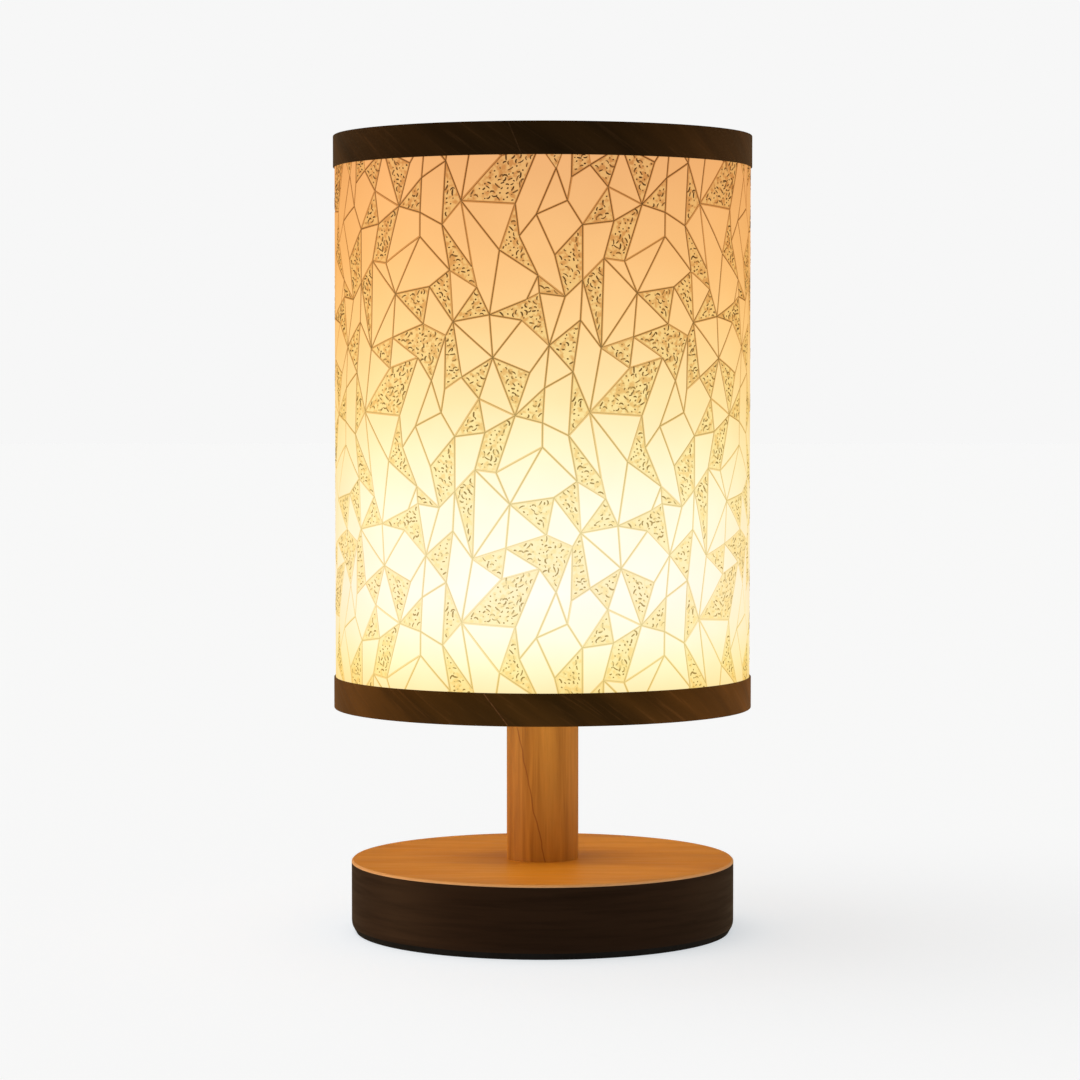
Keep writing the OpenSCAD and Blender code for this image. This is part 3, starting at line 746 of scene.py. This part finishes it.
def post_wood():
    """Caramel wood, upright, with one dark vein that leans across the front."""
    material, tree, shader, colour = wood(
        "post_wood", linear(146, 94, 33), linear(182, 123, 49), linear(200, 141, 60),
        (260, 260, 14), (1500, 1500, 60))
    vein_foot_z = 26.7 * MM
    vein_lean = 0.21
    vein_wander = 0.6 * MM
    vein_half_w = 0.32 * MM
    at = split_coords(tree)
    wander = noise(tree, stretched(tree, (0, 0, 90)), detail=2)
    line = math_node(tree, "SUBTRACT", at["X"], math_node(
        tree, "MULTIPLY", math_node(tree, "SUBTRACT", vein_foot_z, at["Z"]), vein_lean))
    line = math_node(tree, "ADD", line, spread(tree, wander, 0.3, 0.7, -vein_wander, vein_wander))
    vein = spread(tree, math_node(tree, "ABSOLUTE", line), 0.0, vein_half_w, 1.0, 0.0, smooth=True)
    front = spread(tree, at["Y"], -4 * MM, 0.0, 1.0, 0.0)
    vein = math_node(tree, "MULTIPLY", math_node(tree, "MULTIPLY", vein, front), 0.65)
    connect(tree, mixed(tree, vein, colour, linear(120, 60, 18)), shader, "Base Color")
    return material


def base_top_wood():
    """Caramel wood, its grain nearly across, with a painted highlight: its bevelled edge is painted
    pale.
    """
    material, tree, shader, colour = wood(
        "base_top_wood", linear(178, 114, 36), linear(190, 126, 42), linear(202, 140, 50),
        (10, 75, 75), (60, 900, 900), (0, 0, math.radians(8)), (0.32, 0.46))
    at = split_coords(tree)
    squares = [math_node(tree, "POWER", at[axis], 2.0) for axis in ("X", "Y")]
    reach = math_node(tree, "SQRT", math_node(tree, "ADD", *squares))
    # Painted highlight: the bevel's ring is painted pale for the light that the arris catches.
    edge = spread(tree, reach, base_r - 0.6 * MM, base_r - 0.4 * MM)
    connect(tree, mixed(tree, edge, colour, linear(222, 172, 122)), shader, "Base Color")
    return material


def dark_wood():
    """Dark stain on the turned side, its grain running round; its darkness is partly painted shade, for
    the side that the lamp's light misses.
    """
    material, tree, shader = new_material("base_dark_wood", Specular_IOR_Level=0.1)
    shader.inputs["Specular Tint"].default_value = (0.9, 0.62, 0.4, 1)
    around = ring_coords(tree, disc_r)
    fibres = noise(tree, scaled(tree, around, (26, 420, 1)), detail=5, roughness=0.6, distortion=0.3)
    broad = noise(tree, scaled(tree, around, (9, 60, 1)), detail=3)
    # Painted shade: these dark browns also stand in for the shade that the side is in.
    colour = mixed(tree, spread(tree, broad, 0.3, 0.7), linear(38, 25, 17), linear(50, 34, 22))
    colour = mixed(tree, spread(tree, fibres, 0.45, 0.75, 0.0, 0.7), colour, linear(24, 14, 9))
    connect(tree, colour, shader, "Base Color")
    connect(tree, spread(tree, fibres, 0.3, 0.7, 0.42, 0.58), shader, "Roughness")
    bumped(tree, shader, fibres, 0.2, 0.05 * MM)
    return material


def trim_material(name, lean, deep, mid, pale):
    """Dark wood-grain tape, its figure leaning across the band."""
    material, tree, shader = new_material(name, Specular_IOR_Level=0.1)
    shader.inputs["Specular Tint"].default_value = (1.0, 0.7, 0.42, 1)
    around = ring_coords(tree, BAND_R, lean)
    streaks = noise(tree, scaled(tree, around, (45, 900, 1)), detail=4, roughness=0.6, distortion=0.5)
    broad = noise(tree, scaled(tree, around, (14, 120, 1)), detail=3)
    colour = mixed(tree, spread(tree, broad, 0.3, 0.7), deep, mid)
    colour = mixed(tree, spread(tree, streaks, 0.56, 0.8, 0.0, 0.6), colour, pale)
    connect(tree, colour, shader, "Base Color")
    connect(tree, spread(tree, streaks, 0.3, 0.7, 0.36, 0.5), shader, "Roughness")
    bumped(tree, shader, streaks, 0.25, 0.05 * MM)
    return material


TRIM_LEAN = math.radians(35)

paint(post_wood(), "post")
paint(base_top_wood(), "base_top_layer")
paint(dark_wood(), "base_disc")
# One tape on both bands, in lit and shaded copies: the lower band's is painted lighter as painted light
# from below, the upper band's darker as painted shade.
lit_lower_trim = trim_material("trim_tape_lower_painted_lit", TRIM_LEAN, linear(56, 37, 12), linear(82, 54, 19),
                           linear(104, 70, 34))
shaded_upper_trim = trim_material("trim_tape_upper_painted_shade", TRIM_LEAN, linear(32, 21, 8), linear(50, 33, 13),
                           linear(72, 50, 28))


# ---------------------------------------------------------------- trim bands

BAND_T = 0.5 * MM
RIM_ROUND = 0.35 * MM
EDGE_ROUND = 0.15 * MM
HOOP_WIRE = 2.6 * MM
HOOP_GAP = 0.05 * MM
# The tape is folded in over the hoop: height of the fold, and its radius on the hoop's side
FOLD_H = 4 * MM
FOLD_OUT_R = SHEET_R - SHEET_T - HOOP_GAP - HOOP_WIRE - HOOP_GAP


def revolved(name, outline, segments, radius_change=None):
    """A closed ring with a closed outline of (radius, height), turned about Z."""
    verts = []
    faces = []
    size = len(outline)
    for s in range(segments):
        angle = TURN * s / segments
        for r, z in outline:
            r2 = r + radius_change(angle, r, z) if radius_change else r
            verts.append((r2 * math.cos(angle), r2 * math.sin(angle), z))
    for s in range(segments):
        t = (s + 1) % segments
        for n in range(size):
            m = (n + 1) % size
            faces.append((s * size + n, t * size + n, t * size + m, s * size + m))
    mesh = bpy.data.meshes.new(name)
    mesh.from_pydata(verts, [], faces)
    mesh.update()
    return mesh


def arc(centre, radius, start, end, steps):
    """Points of an arc of (radius, height), angles in degrees."""
    points = []
    for n in range(steps + 1):
        a = math.radians(start + (end - start) * n / steps)
        points.append((centre[0] + radius * math.cos(a), centre[1] + radius * math.sin(a)))
    return points


def band_outline(rim_z, edge_z):
    """Section of a trim band from its rim to its edge on the sheet, mirrored for the upper band."""
    up = 1 if edge_z > rim_z else -1
    height = abs(edge_z - rim_z)
    inner_r = FOLD_OUT_R - BAND_T
    outline = arc((BAND_R - RIM_ROUND, RIM_ROUND), RIM_ROUND, -90, 0, 5)
    outline += arc((BAND_R - EDGE_ROUND, height - EDGE_ROUND), EDGE_ROUND, 0, 90, 3)
    outline += [(SHEET_R, height), (SHEET_R, BAND_T), (FOLD_OUT_R, BAND_T), (FOLD_OUT_R, FOLD_H)]
    outline += [(inner_r, FOLD_H)]
    outline += arc((inner_r + RIM_ROUND, RIM_ROUND), RIM_ROUND, 180, 270, 4)
    return [(r, rim_z + up * z) for r, z in outline][::up]


def make_band(node, rim_z, edge_z, trim):
    """A trim band of folded tape in place of its plain CAD ring."""
    mesh = revolved(node + "_tape", band_outline(rim_z, edge_z), 192)
    mesh.materials.append(trim)
    smooth_mesh(mesh, 40)
    new_piece(node + "_tape", mesh, "shade_unit", "band_dark", node)


def make_lap(name, rim_z, edge_z, rim_x, edge_x, material):
    """Thin cut edge where the end of a band's tape laps its start, slanting across the front; its pale
    colour is partly a painted highlight.
    """
    steps = 8
    half_w = 0.24 * MM
    sunk_r = BAND_R - 0.1 * MM
    proud_r = BAND_R + 0.05 * MM
    verts = []
    faces = []
    for n in range(steps + 1):
        t = n / steps
        z = rim_z + (edge_z - rim_z) * t
        x = rim_x + (edge_x - rim_x) * t
        for offset, radius in ((-half_w, sunk_r), (half_w, sunk_r),
                               (half_w * 0.4, proud_r), (-half_w, proud_r)):
            angle = math.asin((x + offset) / BAND_R)
            verts.append((radius * math.sin(angle), -radius * math.cos(angle), z))
    for n in range(steps):
        for k in range(4):
            m = (k + 1) % 4
            faces.append((4 * n + k, 4 * n + m, 4 * n + 4 + m, 4 * n + 4 + k))
    faces += [(3, 2, 1, 0), (4 * steps, 4 * steps + 1, 4 * steps + 2, 4 * steps + 3)]
    mesh = bpy.data.meshes.new(name)
    mesh.from_pydata(verts, [], faces)
    mesh.materials.append(material)
    mesh.update()
    new_piece(name, mesh, "shade_unit", "band_dark")


def cut_edge(name, colour):
    """Bare edge of the tape, a little mottled, painted pale: partly the tape's own edge, partly a
    painted highlight.
    """
    material, tree, shader = new_material(name, Roughness=0.6, Specular_IOR_Level=0.05)
    cloud = noise(tree, stretched(tree, (900, 900, 900)), detail=2)
    dim = tuple(c * 0.6 for c in colour[:3]) + (1,)
    connect(tree, mixed(tree, spread(tree, cloud, 0.35, 0.65), dim, colour), shader, "Base Color")
    return material


make_band("bottom_band", lower_low.z, lower_high.z, lit_lower_trim)
make_band("top_band", upper_high.z, upper_low.z, shaded_upper_trim)
# The lower lap's edge is painted brighter than the upper's: painted light from below.
make_lap("bottom_band_lap", lower_low.z + 0.4 * MM, lower_high.z - 0.1 * MM, -10.3 * MM, -17.4 * MM,
         cut_edge("lower_cut_edge", linear(118, 80, 46)))
make_lap("top_band_lap", upper_high.z - 0.4 * MM, upper_low.z + 0.1 * MM, -10.0 * MM, -6.2 * MM,
         cut_edge("upper_cut_edge", linear(70, 49, 27)))


# ---------------------------------------------------------------- threaded pieces

def thread_depth(angle, z, start, end, pitch, depth):
    """How far a right-hand thread cuts in at an angle and height, fading in and out at its ends."""
    fade = min(1.0, max(0.0, (z - start) / (0.5 * pitch)), max(0.0, (end - z) / (0.5 * pitch)))
    return depth * fade * (0.5 - 0.5 * math.cos(TURN * z / pitch - angle))


def levels(start, end, step):
    """Evenly spaced heights from start to end, about a step apart."""
    count = max(1, round((end - start) / step))
    return [start + (end - start) * n / count for n in range(count + 1)]


def make_bulb_cap():
    """Rolled E14 cap: the thread shows on both sides of its thin metal."""
    outer = cap_high.x
    wall = 0.35 * MM
    pitch = 2.822 * MM
    foot_taper = 1.2 * MM
    thread_start = cap_low.z + 1.5 * MM
    thread_end = cap_high.z - 5.3 * MM
    side = levels(cap_low.z + foot_taper, thread_end, pitch / 10) + [cap_high.z]
    outline = [(outer - foot_taper, cap_low.z)] + [(outer, z) for z in side]
    outline += [(outer - wall, z) for z in reversed(side)] + [(outer - foot_taper - wall, cap_low.z)]
    mesh = revolved("bulb_cap_rolled", outline, 96, lambda angle, r, z: -thread_depth(
        angle, z, thread_start, thread_end, pitch, 0.5 * MM))
    mesh.materials.append(nickel)
    smooth_mesh(mesh, 45)
    new_piece("bulb_cap_rolled", mesh, "bulb_unit", "bulb_cap_metal", "bulb_cap")


def make_holder_body():
    """Holder shell with its shade shoulder and the moulded thread that the shade ring runs on."""
    skirt_r = 14.3 * MM
    shoulder_r = body_high.x
    shoulder_t = 2 * MM
    shoulder_z = ring_z - 1.2 * MM
    barrel_r = 13.9 * MM
    bore_r = barrel_r - 1.6 * MM
    ledge_z = terminals_top
    ledge_t = 1 * MM
    ledge_r = bore_r - 1.2 * MM
    round_r = 0.4 * MM
    pitch = 2.0 * MM
    low, top = body_low.z, body_high.z
    outline = [(skirt_r, low), (skirt_r, shoulder_z - shoulder_t)]
    outline += arc((shoulder_r - round_r, shoulder_z - shoulder_t + round_r), round_r, -90, 0, 4)
    outline += arc((shoulder_r - round_r, shoulder_z - round_r), round_r, 0, 90, 4)
    outline += [(barrel_r, z) for z in levels(shoulder_z, top - round_r, pitch / 10)]
    outline += [(barrel_r - round_r, top), (bore_r, top), (bore_r, ledge_z + ledge_t)]
    outline += [(ledge_r, ledge_z + ledge_t), (ledge_r, ledge_z), (bore_r, ledge_z), (bore_r, low)]

    def change(angle, r, z):
        if abs(r - barrel_r) > 1e-6:
            return 0.0
        return -thread_depth(angle, z, shoulder_z + 0.3 * MM, top - 0.2 * MM, pitch, 0.6 * MM)

    mesh = revolved("holder_body_threaded", outline, 128, change)
    mesh.materials.append(white_plastic)
    smooth_mesh(mesh, 40)
    new_piece("holder_body_threaded", mesh, "stand", "holder_plastic", "holder_body")


# ---------------------------------------------------------------- other materials

def simple(name, colour, roughness, metallic=0.0, specular=0.5, grain=700, depth=0.02, vary=0.12):
    """Moulded, cast or plated finish, a little uneven; grain is its fineness and depth is in mm."""
    material, tree, shader = new_material(name, Metallic=metallic, Specular_IOR_Level=specular)
    cloud = noise(tree, stretched(tree, (grain / 8,) * 3), detail=3)
    fine = noise(tree, stretched(tree, (grain,) * 3), detail=4)
    dim = tuple(c * (1 - vary) for c in colour[:3]) + (1,)
    connect(tree, mixed(tree, spread(tree, cloud, 0.3, 0.7), dim, colour), shader, "Base Color")
    uneven = spread(tree, fine, 0.3, 0.7, roughness * 0.85, min(1.0, roughness * 1.2))
    connect(tree, uneven, shader, "Roughness")
    bumped(tree, shader, fine, 0.3, depth * MM)
    return material


foam = simple("pad_foam", linear(22, 21, 20), 0.85, specular=0.15, grain=900, depth=0.15, vary=0.4)
zinc = simple("zinc_plate", (0.60, 0.61, 0.62, 1), 0.32, metallic=1.0)
brass = simple("brass", (0.78, 0.56, 0.24, 1), 0.28, metallic=1.0)
bush = simple("bush_plastic", linear(40, 28, 20), 0.5)
nylon = simple("block_nylon", linear(226, 221, 208), 0.45)
brown_lead = simple("lead_brown", linear(112, 66, 36), 0.4)
blue_lead = simple("lead_blue", linear(48, 110, 170), 0.4)
white_plastic = simple("holder_plastic", linear(236, 233, 225), 0.3, depth=0.01, vary=0.05)
steatite = simple("holder_core", linear(232, 226, 212), 0.6, vary=0.08)
white_wire = simple("white_wire", linear(222, 222, 220), 0.35, vary=0.06)
strip_film = simple("seam_film", linear(190, 158, 112), 0.5, vary=0.08)
nickel = simple("bulb_nickel", (0.66, 0.65, 0.62, 1), 0.25, metallic=1.0)
solder = simple("solder", (0.62, 0.62, 0.62, 1), 0.4, metallic=1.0, depth=0.06)
black_glass = simple("black_insulator", linear(24, 24, 26), 0.2)
board = simple("led_board", linear(226, 229, 232), 0.5)
circuit = simple("driver_board", linear(40, 104, 60), 0.4)

make_bulb_cap()
make_holder_body()


def glowing(name, base, colour, strength):
    """A lit, frosted surface with a faint cloudiness."""
    material, tree, shader = new_material(
        name, Base_Color=base, Roughness=0.5, Emission_Strength=strength)
    cloud = noise(tree, stretched(tree, (160, 160, 160)), detail=2)
    dim = tuple(c * 0.92 for c in colour[:3]) + (1,)
    connect(tree, mixed(tree, spread(tree, cloud, 0.3, 0.7), dim, colour), shader, "Emission Color")
    return material


paint(foam, "foot_pad")
paint(zinc, "threaded_tube", "tube_nut", "tube_washer", "seat_washer", "terminal_screws",
      "block_fixing_screw", "cap_grub_screw", "holder_terminal_screws")
paint(brass, "terminal_sleeves", "screw_shell", "centre_contact", "holder_terminals")
paint(bush, "cord_bush")
paint(nylon, "terminal_block")
paint(brown_lead, "lead_live")
paint(blue_lead, "lead_neutral")
paint(white_plastic, "holder_cap", "shade_ring", "bulb_collar")
paint(steatite, "holder_insert")
paint(white_wire, "shade_spider", "upper_hoop")
paint(strip_film, "seam_strip")
paint(solder, "bulb_tip")
paint(black_glass, "bulb_insulator")
paint(board, "bulb_led_board")
paint(circuit, "bulb_driver_board")
paint(glowing("led_chips", (0.8, 0.65, 0.25, 1), (1.0, 0.85, 0.5, 1), 4.0), "bulb_led_chips")
paint(glowing("globe_frosted", (0.9, 0.86, 0.78, 1), (1.0, 0.80, 0.50, 1), 3.0), "bulb_globe")


# ---------------------------------------------------------------- stage, light and camera

FLOOR_REACH = 9.0
BACKGROUND = linear(247, 247, 247)
# The floor's own light: with the overhead light on it, it looks like the background
FLOOR_GLOW = (0.551, 0.591, 0.630, 1)
ROOM_TONE = (1.0, 0.74, 0.46, 1)
WARM = (1.0, 0.68, 0.36)
BULB_TONE = (1.0, 0.78, 0.42)
LAMP_MIDDLE = (0, 0, 0.1)
# Camera fitted to the photo: lens in millimetres, place, and how far it looks down in radians
CAMERA_LENS = 114.1
CAMERA_PLACE = (-0.0008, -1.0669, 0.1701)
CAMERA_DIP = 0.045


def make_floor():
    """Plain pale floor that takes the lamp's soft shadow."""
    mesh = bpy.data.meshes.new("floor")
    corners = [(x * FLOOR_REACH, y * FLOOR_REACH, 0) for x, y in ((-1, -1), (1, -1), (1, 1), (-1, 1))]
    mesh.from_pydata(corners, [], [(0, 1, 2, 3)])
    material = new_material(
        "floor", Base_Color=(0.5, 0.5, 0.5, 1), Roughness=1.0, Specular_IOR_Level=0.0,
        Emission_Color=FLOOR_GLOW, Emission_Strength=1.0)[0]
    mesh.materials.append(material)
    floor = bpy.data.objects.new("floor", mesh)
    bpy.context.scene.collection.objects.link(floor)
    floor.visible_glossy = False
    return floor


def make_world():
    """White studio: the camera sees an even background, while its light on the lamp is low and warm."""
    world = bpy.data.worlds.new("studio")
    bpy.context.scene.world = world
    world.use_nodes = True
    tree = world.node_tree
    tree.nodes.clear()
    seen = add_node(tree, "ShaderNodeBackground", {"Color": BACKGROUND, "Strength": 1.0})
    light = add_node(tree, "ShaderNodeBackground", {"Color": ROOM_TONE, "Strength": 0.3})
    camera_ray = add_node(tree, "ShaderNodeLightPath").outputs["Is Camera Ray"]
    blend = add_node(tree, "ShaderNodeMixShader", {
        0: camera_ray, 1: light.outputs[0], 2: seen.outputs[0]})
    output = tree.nodes.new("ShaderNodeOutputWorld")
    tree.links.new(blend.outputs[0], output.inputs["Surface"])


def make_light(name, kind, place, energy, colour=(1, 1, 1), aim=None, **settings):
    """A light at a place, aimed if it has a direction."""
    data = bpy.data.lights.new(name, kind)
    data.energy = energy
    data.color = colour
    for key, value in settings.items():
        setattr(data, key, value)
    lamp = bpy.data.objects.new(name, data)
    lamp.location = place
    if aim:
        lamp.rotation_euler = (Vector(aim) - Vector(place)).to_track_quat("-Z", "Y").to_euler()
    bpy.context.scene.collection.objects.link(lamp)
    return lamp


def make_camera():
    """A long lens in front of the lamp, looking slightly down."""
    data = bpy.data.cameras.new("camera")
    data.sensor_width = 36
    data.lens = CAMERA_LENS
    data.clip_end = 100
    camera = bpy.data.objects.new("camera", data)
    camera.location = CAMERA_PLACE
    camera.rotation_euler = (math.pi / 2 - CAMERA_DIP, 0, 0)
    bpy.context.scene.collection.objects.link(camera)
    bpy.context.scene.camera = camera


def light_only(source, name, objects):
    """Let a light or a lit mesh reach these objects only."""
    group = bpy.data.collections.new(name)
    for item in objects:
        group.objects.link(item)
    source.light_linking.receiver_collection = group


def make_lights(floor):
    """Soft overhead light for the floor; warm room, rim and bulb light for the lamp."""
    lamp_parts = [item for item in bpy.context.scene.objects if item.type == "MESH" and item != floor]
    bands = [item for item in lamp_parts if "band" in item.name]
    others = [item for item in lamp_parts if item not in bands]
    overhead = make_light("overhead", "SUN", (-0.8, 0.1, 2), 1.6, aim=(0, 0, 0), angle=math.radians(70))
    light_only(overhead, "floor_only", [floor])
    for name, place, energy, lit in (("rim_left", (-1.4, 0.5, 0.2), 50, bands),
                                     ("rim_right", (1.4, 0.5, 0.2), 50, bands),
                                     ("room_left", (-1.5, -0.1, 0.2), 18, others),
                                     ("room_right", (1.5, 0.3, 0.3), 4, others)):
        side = make_light(name, "AREA", place, energy, WARM, LAMP_MIDDLE, size=0.9)
        side.visible_glossy = lit is others
        light_only(side, name + "_reach", lit)
    bulb = make_light("bulb_light", "POINT", (0, 0, (globe_low.z + globe_high.z) / 2), 0.64, BULB_TONE,
                      shadow_soft_size=30 * MM)
    for source in (bulb, bpy.data.objects["shade_mosaic"]):
        light_only(source, source.name + "_reach", lamp_parts)


floor = make_floor()
make_world()
make_lights(floor)
make_camera()
bpy.context.scene.view_settings.view_transform = "Standard"
